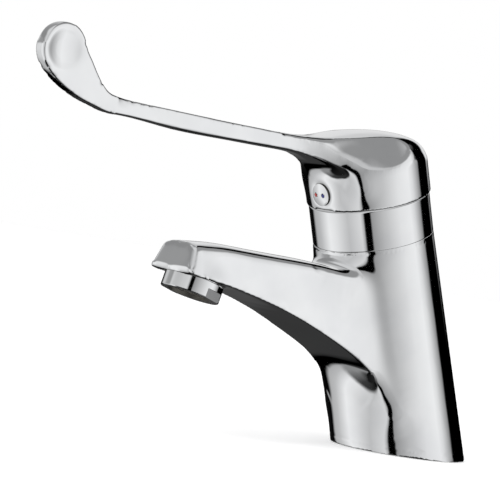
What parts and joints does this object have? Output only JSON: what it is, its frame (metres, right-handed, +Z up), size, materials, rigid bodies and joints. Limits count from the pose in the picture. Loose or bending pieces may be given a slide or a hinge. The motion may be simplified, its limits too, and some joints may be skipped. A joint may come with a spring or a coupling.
{
  "type": "thermostatic basin mixer",
  "caption": "Chromed single-hole basin mixer with a column leaning over the basin, a tapering spout and a long paddle lever turned sideways for flow and heat.",
  "frame": {"origin": "centre of the base on the basin", "axes": "+Z up from the basin, -Y along the spout towards the user, +X to the user's right"},
  "size_m": [0.06, 0.268, 0.1623],
  "materials": {
    "chrome": "polished",
    "chrome_cap": "polished",
    "red": "gloss",
    "blue": "gloss",
    "rubber": "matt",
    "brass": "machined",
    "grey_plastic": "moulded",
    "white_plastic": "moulded",
    "red_plastic": "moulded",
    "ceramic": "lapped",
    "steel": "drawn"
  },
  "bodies": {
    "tap_body": {"body_with_spout": "chrome", "base_seal": "rubber", "trim_ring": "chrome", "cartridge_nut": "brass", "cartridge_housing": "grey_plastic", "cartridge_housing_seal": "rubber", "cartridge_plate": "grey_plastic", "inlet_seals": "rubber", "fixed_ceramic_disc": "ceramic", "temperature_stop": "red_plastic", "return_spring": "steel", "aerator_housing": "chrome", "aerator_cage": "white_plastic", "aerator_screen": "steel", "aerator_gasket": "rubber", "hot_filter": "steel", "cold_filter": "steel", "hot_check_valve_housing": "white_plastic", "cold_check_valve_housing": "white_plastic", "hot_check_valve_spring": "steel", "cold_check_valve_spring": "steel"},
    "lever_group": {"lever": "chrome", "lever_screw": "steel", "index_button": "chrome_cap", "hot_index_dot": "red", "cold_index_dot": "blue", "spindle": "brass", "spindle_seal": "rubber", "disc_carrier": "white_plastic", "moving_ceramic_disc": "ceramic"},
    "regulator": {"regulating_nut": "brass"},
    "thermostat": {"wax_element": "brass", "shuttle": "white_plastic"},
    "hot_check_valve": {"hot_check_valve_poppet": "grey_plastic"},
    "cold_check_valve": {"cold_check_valve_poppet": "grey_plastic"}
  },
  "joints": [
    {"name": "lever_swivel", "type": "hinge", "parent": "tap_body", "child": "lever_group", "pos_m": [0, -0.04336, 0.11296], "axis": [0, -0.3584, 0.9336], "range_deg": [-50, 50]},
    {"name": "temperature_screw", "type": "slide", "parent": "tap_body", "child": "regulator", "axis": [0, -0.3584, 0.9336], "range_m": [-0.00112, 0.00112]},
    {"name": "thermostat_slide", "type": "slide", "parent": "regulator", "child": "thermostat", "axis": [0, 0.3584, -0.9336], "range_m": [0, 0.0015], "stiffness_N_per_m": 2000, "deforming": ["return_spring"]},
    {"name": "hot_valve_slide", "type": "slide", "parent": "tap_body", "child": "hot_check_valve", "axis": [0, 0, 1], "range_m": [0, 0.003], "stiffness_N_per_m": 100, "deforming": ["hot_check_valve_spring"]},
    {"name": "cold_valve_slide", "type": "slide", "parent": "tap_body", "child": "cold_check_valve", "axis": [0, 0, 1], "range_m": [0, 0.003], "stiffness_N_per_m": 100, "deforming": ["cold_check_valve_spring"]}
  ],
  "couplings": [
    {"joint": "temperature_screw", "follows": "lever_swivel", "m_per_rad": 0.0012732}
  ]
}
